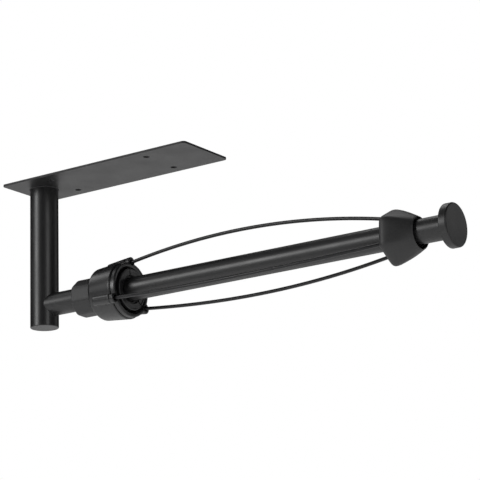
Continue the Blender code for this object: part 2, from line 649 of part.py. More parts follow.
# ---------------------------------------------------------------- assembly

def add_axis(name, drop, parent=None):
    """Empty on the post axis at a drop below the bar axis, or below its parent's axis."""
    made = bpy.data.objects.new(name, None)
    made.parent = parent
    made.location = (0.0, 0.0, -drop) if parent else (POST_X, 0.0, BAR_Z - drop)
    bpy.context.scene.collection.objects.link(made)
    return made


def main():
    for item in list(bpy.data.objects):
        bpy.data.objects.remove(item)
    coated = material("coated_steel", (0.028, 0.028, 0.030), 0.42, 0.2)
    moulded = material("black_plastic", (0.022, 0.022, 0.023), 0.48)
    plain = material("acetal", (0.05, 0.05, 0.05), 0.4)
    bright = material("zinc_plated_steel", (0.55, 0.55, 0.56), 0.35, 1.0)
    wire = material("coated_wire", (0.02, 0.02, 0.02), 0.3, 0.2)
    rubber = material("rubber", (0.015, 0.015, 0.015), 0.8)

    bar_axis = add_axis("bar_axis", 0.0)
    hub_axis = add_axis("hub_axis", HUB_SAG)
    spinning = add_axis("hub_spin_axis", 0.0, hub_axis)
    sliding = add_axis("nose_slide_axis", NOSE_SAG - HUB_SAG, spinning)

    make_plate(coated)
    make_post(coated)
    make_bar(coated, bar_axis)
    make_knob(coated, bright, bar_axis)
    make_sleeve(moulded, bright, hub_axis)
    make_damper_rings(rubber, hub_axis)
    make_washers(plain, bright, hub_axis)
    make_retainer(moulded, hub_axis)
    make_drum(moulded, spinning)
    make_bezel(moulded, spinning)
    make_wires(wire, spinning)
    make_nose(moulded, plain, sliding, spinning)


main()
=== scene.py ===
"""Looks of an under-cabinet paper towel holder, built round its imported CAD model.

Every shown piece is remade here as a fine mesh in the place of its CAD node, or keeps its CAD
mesh with a finished material. Metres, +Z up, +X along the bar from the post to the knob.
"""
import math

import bmesh
import bpy
from mathutils import Matrix, Vector


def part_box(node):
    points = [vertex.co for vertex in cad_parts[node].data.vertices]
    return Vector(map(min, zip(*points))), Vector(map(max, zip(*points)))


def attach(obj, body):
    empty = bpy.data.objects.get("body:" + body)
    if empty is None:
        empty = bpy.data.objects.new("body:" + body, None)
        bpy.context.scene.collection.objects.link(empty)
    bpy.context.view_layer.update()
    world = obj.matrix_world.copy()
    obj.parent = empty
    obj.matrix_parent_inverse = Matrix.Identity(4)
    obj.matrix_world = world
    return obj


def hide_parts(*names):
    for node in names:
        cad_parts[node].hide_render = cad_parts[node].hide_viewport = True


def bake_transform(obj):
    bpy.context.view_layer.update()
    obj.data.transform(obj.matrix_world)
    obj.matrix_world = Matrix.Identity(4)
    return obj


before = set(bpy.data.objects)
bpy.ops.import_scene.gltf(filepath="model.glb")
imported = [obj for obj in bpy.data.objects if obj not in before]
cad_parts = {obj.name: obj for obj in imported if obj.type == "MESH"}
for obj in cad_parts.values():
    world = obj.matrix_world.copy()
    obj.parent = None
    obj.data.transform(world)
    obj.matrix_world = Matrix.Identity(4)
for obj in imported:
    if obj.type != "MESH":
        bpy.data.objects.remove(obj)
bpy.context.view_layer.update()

MM = 0.001
ROUND = 128               # points round a turned piece
FINE_ROUND = 288          # points round a piece with ribs or flats
ARC_STEPS = 6             # along a quarter round
CUT_PAST = 2.0 * MM       # how far a cutter runs past the face that it cuts
SHARP_ANGLE = math.radians(38.0)


# ---------------------------------------------------------------- places from the frame

def middle(node):
    low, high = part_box(node)
    return (low + high) / 2


def radius_of(node):
    low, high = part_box(node)
    return (high.z - low.z) / 2


def ends(node):
    low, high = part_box(node)
    return low.x, high.x


POST_X = middle("post_tube").x
PLATE_LOW, PLATE_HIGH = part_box("mounting_plate")
POST_RADIUS = (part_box("post_tube")[1].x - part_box("post_tube")[0].x) / 2
POST_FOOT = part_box("post_end_cap")[0].z
BAR_Z = middle("bar_tube").z
BAR_RADIUS = radius_of("bar_tube")
HUB_Z = middle("damper_ring_back").z
NOSE_Z = middle("nose_liner").z
SLEEVE_START, SPIGOT_END = ends("base_sleeve")
DRUM_START, DRUM_END = ends("hub_drum")
BEZEL_START, BEZEL_END = ends("hub_bezel")
RETAINER_START, RETAINER_END = ends("retainer_bush")
NOSE_START, NOSE_END = ends("nose_cone")

# Sizes that the boxes don't give, as in the CAD model
PLATE_CORNER_RADIUS = 2.5 * MM
SCREW_HOLE_RADIUS = 2.25 * MM
SCREW_HOLES = [(-1.2 * MM + side_x * 42.5 * MM, side_y * 15.5 * MM)
               for side_x in (-1, 1) for side_y in (-1, 1)]
GAP = 0.3 * MM                       # between neighbouring pieces
SLEEVE_FLAT_RADIUS = 12.5 * MM
SLEEVE_SIDES = 8
SLEEVE_TURN = math.radians(20.0)
SLEEVE_BORE = 8.45 * MM
SPIGOT_RADIUS = 11.0 * MM
SET_SCREW_ANGLE = math.radians(-63.0)
SET_SCREW_RADIUS = 2.3 * MM
DRUM_BACK_RADIUS = 18.2 * MM
DRUM_BACK_ROUNDING = 2.7 * MM
DRUM_RIM_RADIUS = 19.8 * MM
DRUM_RIM_ROUNDING = 0.9 * MM
RECESS_RADIUS = 15.3 * MM
RECESS_FLOOR = DRUM_START + 15.0 * MM
DRUM_BORE = 11.3 * MM
BEZEL_RADIUS = 19.0 * MM
DISH_RADIUS = 16.8 * MM
DISH_DEPTH = 1.4 * MM
RETAINER_BORE = 11.6 * MM
RETAINER_EYE = 9.8 * MM
RETAINER_WEB = 1.4 * MM
SLOT_ANGLES = (math.radians(100.0), math.radians(207.0), math.radians(315.0))
SLOT_WIDTH = 0.9 * MM
RIB_RADIUS = 3.5 * MM
RIB_START = DRUM_START + 5.2 * MM
RIB_RISES = (1.7 * MM, 0.6 * MM)     # at the back and the front end of a rib
WIRE_NODES = ("spring_wire_a", "spring_wire_b", "spring_wire_c")
WIRE_RADIUS = 1.2 * MM
SOCKET_RADIUS = 1.5 * MM
NOSE_SIDES = 6
NOSE_TURN = math.radians(87.0)
NOSE_FLAT_RADIUS = 16.6 * MM
NOSE_MOUTH_RADIUS = 10.6 * MM
NOSE_HOLE_RADIUS = 10.0 * MM
NOSE_LIP_RADIUS = 9.25 * MM
NOSE_LIP_THICKNESS = 0.8 * MM
NOSE_BORE = 10.25 * MM
NOSE_SHOULDER = NOSE_START + 4.0 * MM
NOSE_EDGE = 3.2 * MM
NOSE_TAPER = 1.4


# ---------------------------------------------------------------- materials

NOISE_LOW = 0.3           # a noise texture's values are taken to run between these two
NOISE_HIGH = 0.7


class Nodes:
    """Short way to add and join a material's nodes."""

    def __init__(self, name):
        self.material = bpy.data.materials.new(name)
        self.material.use_nodes = True
        self.tree = self.material.node_tree
        self.shader = self.tree.nodes["Principled BSDF"]
        self.place = self.tree.nodes.new("ShaderNodeTexCoord").outputs["Object"]

    def add(self, kind, settings=None, **links):
        node = self.tree.nodes.new(kind)
        for name, value in (settings or {}).items():
            if name in node.inputs.keys():
                node.inputs[name].default_value = value
            else:
                setattr(node, name, value)
        for name, source in links.items():
            self.tree.links.new(source, node.inputs[name.replace("_", " ")])
        return node

    def noise(self, scale, detail=2.0, roughness=0.5):
        return self.add("ShaderNodeTexNoise", {"Scale": scale, "Detail": detail,
                                               "Roughness": roughness},
                        Vector=self.place).outputs["Fac"]

    def spread(self, value, low, high):
        """Stretch a noise value, which stays near a half, to run from low to high."""
        return self.add("ShaderNodeMapRange", {"From Min": NOISE_LOW, "From Max": NOISE_HIGH,
                                               "To Min": low, "To Max": high},
                        Value=value).outputs["Result"]

    def tint(self, value, dark, light):
        ramp = self.add("ShaderNodeValToRGB", Fac=value)
        ramp.color_ramp.elements[0].color = (*dark, 1.0)
        ramp.color_ramp.elements[1].color = (*light, 1.0)
        ramp.color_ramp.elements[0].position = NOISE_LOW
        ramp.color_ramp.elements[1].position = NOISE_HIGH
        return ramp.outputs["Color"]

    def bump(self, height, depth, strength=1.0, under=None):
        node = self.add("ShaderNodeBump", {"Strength": strength, "Distance": depth}, Height=height)
        if under:
            self.tree.links.new(under, node.inputs["Normal"])
        return node.outputs["Normal"]

    def drive(self, name, source):
        self.tree.links.new(source, self.shader.inputs[name])

    def set(self, **values):
        for name, value in values.items():
            self.shader.inputs[name.replace("_", " ")].default_value = value


def powder_coat():
    """Fine-textured black powder coat: a pebbled skin with a soft sheen."""
    look = Nodes("powder_coat")
    grain = look.noise(1500.0, 3.0, 0.6)
    pebble = look.noise(520.0, 2.0)
    cloud = look.noise(45.0, 2.0)
    look.drive("Base Color", look.tint(grain, (0.007, 0.007, 0.0075), (0.014, 0.014, 0.0145)))
    look.drive("Roughness", look.spread(cloud, 0.36, 0.44))
    look.drive("Normal", look.bump(grain, 0.014 * MM, under=look.bump(pebble, 0.020 * MM)))
    look.set(IOR=1.54)
    return look.material


def bare_edge_coat():
    """The same coat where it lies thin and dry, on cut edges and over the weld."""
    look = Nodes("bare_edge_coat")
    grain = look.noise(900.0, 3.0, 0.6)
    look.drive("Base Color", look.tint(grain, (0.010, 0.010, 0.011), (0.020, 0.020, 0.021)))
    look.drive("Roughness", look.spread(grain, 0.55, 0.7))
    look.drive("Normal", look.bump(grain, 0.02 * MM))
    return look.material


def moulded_plastic():
    """Black moulded plastic with a fine spark-eroded texture."""
    look = Nodes("moulded_plastic")
    grain = look.noise(2600.0, 2.0, 0.7)
    flow = look.noise(90.0, 3.0)
    look.drive("Base Color", look.tint(flow, (0.007, 0.007, 0.0075), (0.011, 0.011, 0.0115)))
    look.drive("Roughness", look.spread(grain, 0.27, 0.38))
    look.drive("Normal", look.bump(grain, 0.008 * MM, under=look.bump(flow, 0.015 * MM)))
    look.set(IOR=1.58)
    return look.material


def grained_plastic():
    """The sleeve's and the nose's plastic, with a coarser matt grain."""
    look = Nodes("grained_plastic")
    grain = look.noise(1400.0, 3.0, 0.7)
    look.drive("Base Color", look.tint(grain, (0.017, 0.017, 0.0175), (0.030, 0.030, 0.0305)))
    look.drive("Roughness", look.spread(grain, 0.44, 0.56))
    look.drive("Normal", look.bump(grain, 0.016 * MM))
    look.set(IOR=1.46)
    return look.material


def coated_wire():
    """Black dip-coated spring wire, smoother than the powder coat."""
    look = Nodes("coated_wire")
    ripple = look.noise(240.0, 2.0)
    look.drive("Base Color", look.tint(ripple, (0.008, 0.008, 0.009), (0.014, 0.014, 0.015)))
    look.drive("Roughness", look.spread(ripple, 0.30, 0.42))
    look.drive("Normal", look.bump(ripple, 0.008 * MM))
    look.set(IOR=1.4)
    return look.material


def zinc_plate():
    """Bright zinc plating with fine turning marks."""
    look = Nodes("zinc_plate")
    turning = look.add("ShaderNodeTexWave", {"Scale": 900.0, "Distortion": 0.6},
                       Vector=look.place).outputs["Fac"]
    stain = look.noise(300.0, 3.0)
    look.drive("Base Color", look.tint(stain, (0.50, 0.51, 0.53), (0.68, 0.68, 0.67)))
    look.drive("Roughness", look.spread(stain, 0.28, 0.42))
    look.drive("Normal", look.bump(turning, 0.004 * MM, 0.4))
    look.set(Metallic=1.0)
    return look.material


def acetal():
    """Slick dark bearing plastic."""
    look = Nodes("acetal")
    cloud = look.noise(400.0, 2.0)
    look.drive("Base Color", look.tint(cloud, (0.045, 0.045, 0.046), (0.06, 0.06, 0.061)))
    look.drive("Roughness", look.spread(cloud, 0.3, 0.4))
    look.drive("Normal", look.bump(cloud, 0.004 * MM))
    return look.material


def greased_rubber():
    """Damping rings under a film of grease."""
    look = Nodes("greased_rubber")
    film = look.noise(350.0, 3.0)
    look.drive("Base Color", look.tint(film, (0.012, 0.012, 0.012), (0.022, 0.021, 0.019)))
    look.drive("Roughness", look.spread(film, 0.25, 0.7))
    look.drive("Normal", look.bump(film, 0.01 * MM))
    return look.material


COAT = powder_coat()
EDGE_COAT = bare_edge_coat()
PLASTIC = moulded_plastic()
GRAINED = grained_plastic()
WIRE = coated_wire()
ZINC = zinc_plate()
ACETAL = acetal()
RUBBER = greased_rubber()


# ---------------------------------------------------------------- mesh helpers

def circle(along, radius, height, steps=ROUND):
    """Ring of points about an axis along X; radius is a number or a function of the angle."""
    points = []
    for i in range(steps):
        angle = 2 * math.pi * i / steps
        size = radius(angle) if callable(radius) else radius
        points.append(Vector((along, size * math.cos(angle), height + size * math.sin(angle))))
    return points


def quarter(corner, start, end, radius, steps=ARC_STEPS):
    """Points of a quarter round in place of a corner, from the start side to the end side."""
    corner, start, end = Vector(corner), Vector(start), Vector(end)
    into = (start - corner).normalized()
    out = (end - corner).normalized()
    centre = corner + (into + out) * radius
    points = []
    for i in range(steps + 1):
        angle = math.pi / 2 * i / steps
        points.append(tuple(centre - radius * (out * math.cos(angle) + into * math.sin(angle))))
    return points


def mesh_of(rings, closed=True):
    """Skin over rings of points; closed joins the last ring back to the first."""
    build = bmesh.new()
    loops = [[build.verts.new(point) for point in ring] for ring in rings]
    pairs = list(zip(loops, loops[1:]))
    if closed:
        pairs.append((loops[-1], loops[0]))
    for near, far in pairs:
        for i in range(len(near)):
            j = (i + 1) % len(near)
            build.faces.new((near[i], near[j], far[j], far[i]))
    bmesh.ops.remove_doubles(build, verts=build.verts, dist=1e-7)
    bmesh.ops.recalc_face_normals(build, faces=build.faces)
    return build


def turned(outline, height, closed=True, steps=ROUND):
    """Skin of an outline of (place along X, radius) turned about an axis along X."""
    return mesh_of([circle(along, radius, height, steps) for along, radius in outline], closed)


def add_object(name, build):
    """Put a built mesh into the scene."""
    data = bpy.data.meshes.new(name)
    build.to_mesh(data)
    build.free()
    made = bpy.data.objects.new(name, data)
    bpy.context.scene.collection.objects.link(made)
    return made


def cut(piece, build):
    """Cut a mesh out of a piece and keep the result."""
    tool = add_object("tool", build)
    step = piece.modifiers.new("boolean", "BOOLEAN")
    step.operation = "DIFFERENCE"
    step.solver = "EXACT"
    step.object = tool
    settle(piece)
    bpy.data.objects.remove(tool)


def settle(piece):
    """Keep a piece's mesh as its modifiers make it."""
    graph = bpy.context.evaluated_depsgraph_get()
    data = bpy.data.meshes.new_from_object(piece.evaluated_get(graph))
    piece.modifiers.clear()
    piece.data = data


def finish_piece(piece, look, body, nodes, second=None, chosen=None):
    """Shade a piece, give it its material and body, and hide the CAD nodes that it stands for.

    The faces that chosen picks take the second material.
    """
    piece.data.materials.clear()
    piece.data.materials.append(look)
    if second:
        piece.data.materials.append(second)
    for face in piece.data.polygons:
        face.material_index = 1 if second and chosen(face) else 0
    piece.data.shade_smooth()
    piece.data.set_sharp_from_angle(angle=SHARP_ANGLE)
    weighted = piece.modifiers.new("weighted_normals", "WEIGHTED_NORMAL")
    weighted.keep_sharp = True
    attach(piece, body)
    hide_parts(*nodes)


def rod(foot, head, radius, head_radius=None, steps=48):
    """Round cutter from one point to another, flared if its head has a radius of its own."""
    build = bmesh.new()
    bmesh.ops.create_cone(build, cap_ends=True, segments=steps, radius1=radius,
                          radius2=head_radius or radius, depth=(head - foot).length)
    turn = Vector((0.0, 0.0, 1.0)).rotation_difference(head - foot).to_matrix().to_4x4()
    build.transform(Matrix.Translation((foot + head) / 2) @ turn)
    return build


def soft_polygon(flat_radius, turn, sides, roundness=0.0):
    """Radius of a soft-edged polygon as a function of the angle; roundness 1 makes a circle."""
    sharpness = 2.7 * sides

    def radius(angle):
        total = 0.0
        for side in range(sides):
            facing = math.cos(angle - turn - (side + 0.5) * 2 * math.pi / sides)
            total += max(facing, 0.0) ** sharpness
        size = flat_radius * total ** (-1 / sharpness)
        return size + roundness * (flat_radius - size)

    return radius


# ---------------------------------------------------------------- wires' lines

def wire_line(node):
    """Centres of the CAD wire's rings, which lie well apart, from the hub to the nose."""
    ring_spacing = 3.0 * MM
    corners = sorted({tuple(round(value, 6) for value in vertex.co)
                      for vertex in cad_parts[node].data.vertices})
    groups = [[corners[0]]]
    for corner in corners[1:]:
        if corner[0] - groups[-1][-1][0] > ring_spacing:
            groups.append([])
        groups[-1].append(corner)
    return [Vector(sum(values) / len(group) for values in zip(*group)) for group in groups]


def smooth_line(points, between=6):
    """Catmull-Rom curve through the points."""
    line = []
    padded = [2 * points[0] - points[1], *points, 2 * points[-1] - points[-2]]
    for a, b, c, d in zip(padded, padded[1:], padded[2:], padded[3:]):
        for i in range(between):
            t = i / between
            line.append(0.5 * (2 * b + (c - a) * t + (2 * a - 5 * b + 4 * c - d) * t ** 2
                               + (3 * b - 3 * c + d - a) * t ** 3))
    return [*line, points[-1]]


def whole_line(node):
    """A wire's line: straight inside the hub and the nose, a smooth bow between them."""
    points = wire_line(node)
    return [points[0], *smooth_line(points[1:-1]), points[-1]]


WIRE_LINES = {node: whole_line(node) for node in WIRE_NODES}


def on_wire(node, along):
    """Point of a wire's centre line at a place along X."""
    line = WIRE_LINES[node]
    for near, far in zip(line, line[1:]):
        if along <= far.x or far is line[-1]:
            return near + (far - near) * ((along - near.x) / (far.x - near.x))


def around_hub(point):
    """Angle and distance of a point about the hub's axis."""
    return math.atan2(point.z - HUB_Z, point.y), math.hypot(point.y, point.z - HUB_Z)


# ---------------------------------------------------------------- pieces of the fixed frame

def make_plate():
    """The plate, with round corners, four holes and a slight edge break."""
    corner = PLATE_CORNER_RADIUS
    corner_steps = 12
    build = bmesh.new()
    points = []
    for quadrant, (x, y) in enumerate(((PLATE_HIGH.x, PLATE_HIGH.y), (PLATE_LOW.x, PLATE_HIGH.y),
                                       (PLATE_LOW.x, PLATE_LOW.y), (PLATE_HIGH.x, PLATE_LOW.y))):
        centre = Vector((x - math.copysign(corner, x), y - math.copysign(corner, y), PLATE_HIGH.z))
        for i in range(corner_steps + 1):
            angle = math.pi / 2 * (quadrant + i / corner_steps)
            points.append(centre + corner * Vector((math.cos(angle), math.sin(angle), 0.0)))
    top = build.faces.new([build.verts.new(point) for point in points])
    below = bmesh.ops.extrude_face_region(build, geom=[top])["geom"]
    moved = [item for item in below if isinstance(item, bmesh.types.BMVert)]
    bmesh.ops.translate(build, verts=moved, vec=(0.0, 0.0, PLATE_LOW.z - PLATE_HIGH.z))
    bmesh.ops.recalc_face_normals(build, faces=build.faces)
    plate = add_object("plate", build)
    for x, y in SCREW_HOLES:
        cut(plate, rod(Vector((x, y, PLATE_LOW.z - CUT_PAST)), Vector((x, y, CUT_PAST)),
                       SCREW_HOLE_RADIUS))
    edge = plate.modifiers.new("edge", "BEVEL")
    edge.width = 0.12 * MM
    edge.segments = 2
    edge.limit_method = "ANGLE"
    edge.angle_limit = SHARP_ANGLE
    edge.harden_normals = True
    settle(plate)
    level = 0.7               # how upright the normal of a broad face is at the least
    finish_piece(plate, COAT, "frame", ["mounting_plate"], EDGE_COAT,
                 lambda face: abs(face.normal.z) < level)


def make_post():
    """The post with its ground-flush foot and a small weld fillet under the plate."""
    top, foot = -PLATE_LOW.z, -POST_FOOT           # the outline runs downwards
    fillet = 0.6 * MM
    edge = 0.5 * MM
    outline = [(top, 0.0)]
    for i in range(ARC_STEPS + 1):
        angle = math.pi / 2 * i / ARC_STEPS
        outline.append((top + fillet * (1 - math.cos(angle)),
                        POST_RADIUS + fillet * (1 - math.sin(angle))))
    outline += quarter((foot, POST_RADIUS), (top, POST_RADIUS), (foot, 0.0), edge)
    outline.append((foot, 0.0))
    build = turned(outline, 0.0, closed=False)
    build.transform(Matrix.Translation((POST_X, 0.0, 0.0)) @ Matrix.Rotation(math.pi / 2, 4, "Y"))
    finish_piece(add_object("post", build), COAT, "frame",
                 ["post_tube", "post_end_cap"], EDGE_COAT,
                 lambda face: face.center.z > PLATE_LOW.z - fillet)


def make_bar():
    """The bar, cut to the round of the post."""
    start, end = POST_X, ends("bar_tube")[1]
    wall = 1.2 * MM
    weld_bite = 0.02 * MM
    bore = BAR_RADIUS - wall
    bar = add_object("bar", turned([(start, bore), (start, BAR_RADIUS), (end, BAR_RADIUS),
                                    (end, bore)], BAR_Z))
    reach = 2 * BAR_RADIUS
    cut(bar, rod(Vector((POST_X, 0.0, BAR_Z - reach)), Vector((POST_X, 0.0, BAR_Z + reach)),
                 POST_RADIUS - weld_bite, steps=ROUND))
    finish_piece(bar, COAT, "frame", ["bar_tube"])


def make_knob():
    """The disc at the bar's end, with a hole in its back for the stud."""
    back, front = ends("knob_disc")
    radius = radius_of("knob_disc")
    hole_radius, hole_depth = 3.3 * MM, 2.9 * MM
    back_edge, front_edge = 0.7 * MM, 0.9 * MM
    outline = [(back + hole_depth, 0.0), (back + hole_depth, hole_radius), (back, hole_radius)]
    outline += quarter((back, radius), (back, 0.0), (front, radius), back_edge)
    outline += quarter((front, radius), (back, radius), (front, 0.0), front_edge)
    outline.append((front, 0.0))
    finish_piece(add_object("knob", turned(outline, BAR_Z, closed=False)), COAT,
                 "frame", ["knob_disc"])


# ---------------------------------------------------------------- pieces of the hub

def make_sleeve():
    """The fixed sleeve: an eight-sided grip, and the round spigot that the drum turns on."""
    edge = 1.2 * MM
    lip = 0.3 * MM
    grip_end = DRUM_START - GAP
    rings = [circle(SLEEVE_START, SLEEVE_BORE, HUB_Z, FINE_ROUND)]
    for i in range(ARC_STEPS + 1):
        angle = math.pi / 2 * i / ARC_STEPS
        flat = SLEEVE_FLAT_RADIUS - edge * (1 - math.sin(angle))
        rings.append(circle(SLEEVE_START + edge * (1 - math.cos(angle)),
                            soft_polygon(flat, SLEEVE_TURN, SLEEVE_SIDES), HUB_Z, FINE_ROUND))
    for setback, inset in ((lip, 0.0), (0.0, lip)):
        rings.append(circle(grip_end - setback,
                            soft_polygon(SLEEVE_FLAT_RADIUS - inset, SLEEVE_TURN, SLEEVE_SIDES),
                            HUB_Z, FINE_ROUND))
    for along, radius in ((grip_end, SPIGOT_RADIUS), (SPIGOT_END, SPIGOT_RADIUS),
                          (SPIGOT_END, SLEEVE_BORE)):
        rings.append(circle(along, radius, HUB_Z, FINE_ROUND))
    sleeve = add_object("sleeve", mesh_of(rings))
    out = Vector((0.0, math.cos(SET_SCREW_ANGLE), math.sin(SET_SCREW_ANGLE)))
    foot = Vector((middle("sleeve_set_screw").x, 0.0, HUB_Z))
    inside, outside = 6.0 * MM, 20.0 * MM          # well past both faces of the wall
    cut(sleeve, rod(foot + inside * out, foot + outside * out, SET_SCREW_RADIUS))
    finish_piece(sleeve, GRAINED, "frame", ["base_sleeve"])


def rib_size(along):
    """Size of a rib, which has a blunt, rounded back end."""
    nose = 0.8 * MM
    gone = max(RIB_START + nose - along, 0.0) / nose
    return RIB_RADIUS * math.sqrt(max(1 - gone ** 2, 0.0))


def ribbed(plain, along, size):
    """Radius of a round body with a rib over each wire, as a function of the angle."""
    ribs = [around_hub(on_wire(node, along)) for node in WIRE_NODES]
    share = (along - RIB_START) / (BEZEL_END - RIB_START)
    rise = RIB_RISES[0] + (RIB_RISES[1] - RIB_RISES[0]) * share
    blend = 0.35 * MM

    def radius(angle):
        best = plain
        for rib_angle, distance in ribs:
            centre = distance + rise
            aside = centre * math.sin(angle - rib_angle)
            if math.cos(angle - rib_angle) > 0 and abs(aside) < size:
                crest = centre * math.cos(angle - rib_angle) + math.sqrt(size ** 2 - aside ** 2)
                gap = crest - best
                best = (best + crest + math.sqrt(gap ** 2 + blend ** 2) - blend) / 2
        return best

    return radius


def make_drum():
    """The turning drum: a rib over each wire, a recess in its front and a bore."""
    straight_steps = 44
    shoulder = DRUM_START + DRUM_BACK_ROUNDING
    rim = DRUM_END - DRUM_RIM_ROUNDING
    rings = []
    outline = quarter((DRUM_START, DRUM_BACK_RADIUS), (DRUM_START, 0.0),
                      (DRUM_END, DRUM_BACK_RADIUS), DRUM_BACK_ROUNDING, steps=8)
    for i in range(1, straight_steps + 1):
        share = i / straight_steps
        along = shoulder + (rim - shoulder) * share
        outline.append((along, DRUM_BACK_RADIUS + (DRUM_RIM_RADIUS - DRUM_BACK_RADIUS) * share))
    outline += quarter((DRUM_END, DRUM_RIM_RADIUS), (DRUM_START, DRUM_RIM_RADIUS),
                       (DRUM_END, 0.0), DRUM_RIM_ROUNDING)[1:]
    for along, radius in outline:
        size = rib_size(along)
        inset = DRUM_RIM_RADIUS - radius if along > rim else 0.0
        rings.append(circle(along, ribbed(radius, along, max(size - inset, 0.0)), HUB_Z,
                            FINE_ROUND))
    for along, radius in ((DRUM_END, RECESS_RADIUS), (RECESS_FLOOR, RECESS_RADIUS),
                          (RECESS_FLOOR, DRUM_BORE), (DRUM_START, DRUM_BORE)):
        rings.append(circle(along, radius, HUB_Z, FINE_ROUND))
    drum = add_object("drum", mesh_of(rings))
    for node in WIRE_NODES:
        foot = on_wire(node, WIRE_LINES[node][0].x - GAP)
        cut(drum, rod(foot, on_wire(node, DRUM_END + CUT_PAST), SOCKET_RADIUS))
    finish_piece(drum, PLASTIC, "rotor", ["hub_drum"])


def make_bezel():
    """The ring in front of the drum, with a rib over each wire and a dished mouth."""
    edge = 0.8 * MM
    back_edge = 0.2 * MM
    side_steps, dish_steps = 8, 7
    rings = [circle(BEZEL_START, RECESS_RADIUS, HUB_Z, FINE_ROUND)]
    outline = [(BEZEL_START, BEZEL_RADIUS - back_edge), (BEZEL_START + back_edge, BEZEL_RADIUS)]
    outline += [(BEZEL_START + (BEZEL_END - edge - BEZEL_START) * i / side_steps, BEZEL_RADIUS)
                for i in range(1, side_steps)]
    outline += quarter((BEZEL_END, BEZEL_RADIUS), (BEZEL_START, BEZEL_RADIUS),
                       (BEZEL_END, 0.0), edge)
    for along, radius in outline:
        rings.append(circle(along, ribbed(radius, along, RIB_RADIUS - (BEZEL_RADIUS - radius)),
                            HUB_Z, FINE_ROUND))
    lip = 0.3 * MM
    outline = [(BEZEL_END, DISH_RADIUS + lip), (BEZEL_END - 0.1 * lip, DISH_RADIUS + 0.4 * lip)]
    for i in range(1, dish_steps + 1):
        share = i / dish_steps
        outline.append((BEZEL_END - DISH_DEPTH * share,
                        DISH_RADIUS - (DISH_RADIUS - RECESS_RADIUS) * share ** 0.8))
    for along, radius in outline:
        rings.append(circle(along, radius, HUB_Z, FINE_ROUND))
    bezel = add_object("bezel", mesh_of(rings))
    flare_depth, past_back = 1.6 * MM, 1.0 * MM
    for node in WIRE_NODES:
        head = on_wire(node, BEZEL_END + CUT_PAST)
        cut(bezel, rod(on_wire(node, BEZEL_START - past_back), head, SOCKET_RADIUS))
        cut(bezel, rod(on_wire(node, BEZEL_END - flare_depth), head, SOCKET_RADIUS,
                       2 * SOCKET_RADIUS))
    finish_piece(bezel, PLASTIC, "rotor", ["hub_bezel"])


def make_retainer():
    """The retainer bush, with a raised edge round its face and radial slots."""
    radius = radius_of("retainer_bush")
    web = RETAINER_END - RETAINER_WEB
    step = RETAINER_END - 0.45 * MM
    edge = 0.5 * MM
    eye_edge = 0.3 * MM
    raised_width, slope_width = 1.2 * MM, 0.4 * MM
    depth = 5.0 * MM
    outline = [(RETAINER_START, RETAINER_BORE), (RETAINER_START, radius)]
    outline += quarter((RETAINER_END, radius), (RETAINER_START, radius), (RETAINER_END, 0.0),
                       edge)
    outline += [(RETAINER_END, radius - raised_width),
                (step, radius - raised_width - slope_width), (step, RETAINER_EYE + eye_edge),
                (step - eye_edge, RETAINER_EYE), (web, RETAINER_EYE), (web, RETAINER_BORE)]
    bush = add_object("retainer", turned(outline, HUB_Z, steps=FINE_ROUND))
    for angle in SLOT_ANGLES:
        slot = bmesh.new()
        bmesh.ops.create_cube(slot, size=1.0)
        slot.transform(Matrix.Translation((RETAINER_END, 0.0, HUB_Z))
                       @ Matrix.Rotation(angle - math.pi / 2, 4, "X")
                       @ Matrix.Translation((0.0, 0.0, radius))
                       @ Matrix.Diagonal((2 * depth, SLOT_WIDTH, radius, 1.0)))
        cut(bush, slot)
    finish_piece(bush, PLASTIC, "frame", ["retainer_bush"])


# ---------------------------------------------------------------- wires and nose

def make_wire(node):
    """A round wire along its line, which runs from the rotor to the nose."""
    line = bpy.data.curves.new(node, "CURVE")
    line.dimensions = "3D"
    line.bevel_depth = WIRE_RADIUS
    line.bevel_resolution = 5
    line.use_fill_caps = True
    spline = line.splines.new("POLY")
    spline.points.add(len(WIRE_LINES[node]) - 1)
    for point, place in zip(spline.points, WIRE_LINES[node]):
        point.co = (*place, 1.0)
    curve = bpy.data.objects.new("curve", line)
    bpy.context.scene.collection.objects.link(curve)
    graph = bpy.context.evaluated_depsgraph_get()
    data = bpy.data.meshes.new_from_object(curve.evaluated_get(graph))
    bpy.data.objects.remove(curve)
    piece = bpy.data.objects.new(node.replace("spring_", "bowed_"), data)
    bpy.context.scene.collection.objects.link(piece)
    data.materials.clear()
    data.materials.append(WIRE)
    data.shade_smooth()
    data.set_sharp_from_angle(angle=SHARP_ANGLE)
    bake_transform(piece)
    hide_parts(node)


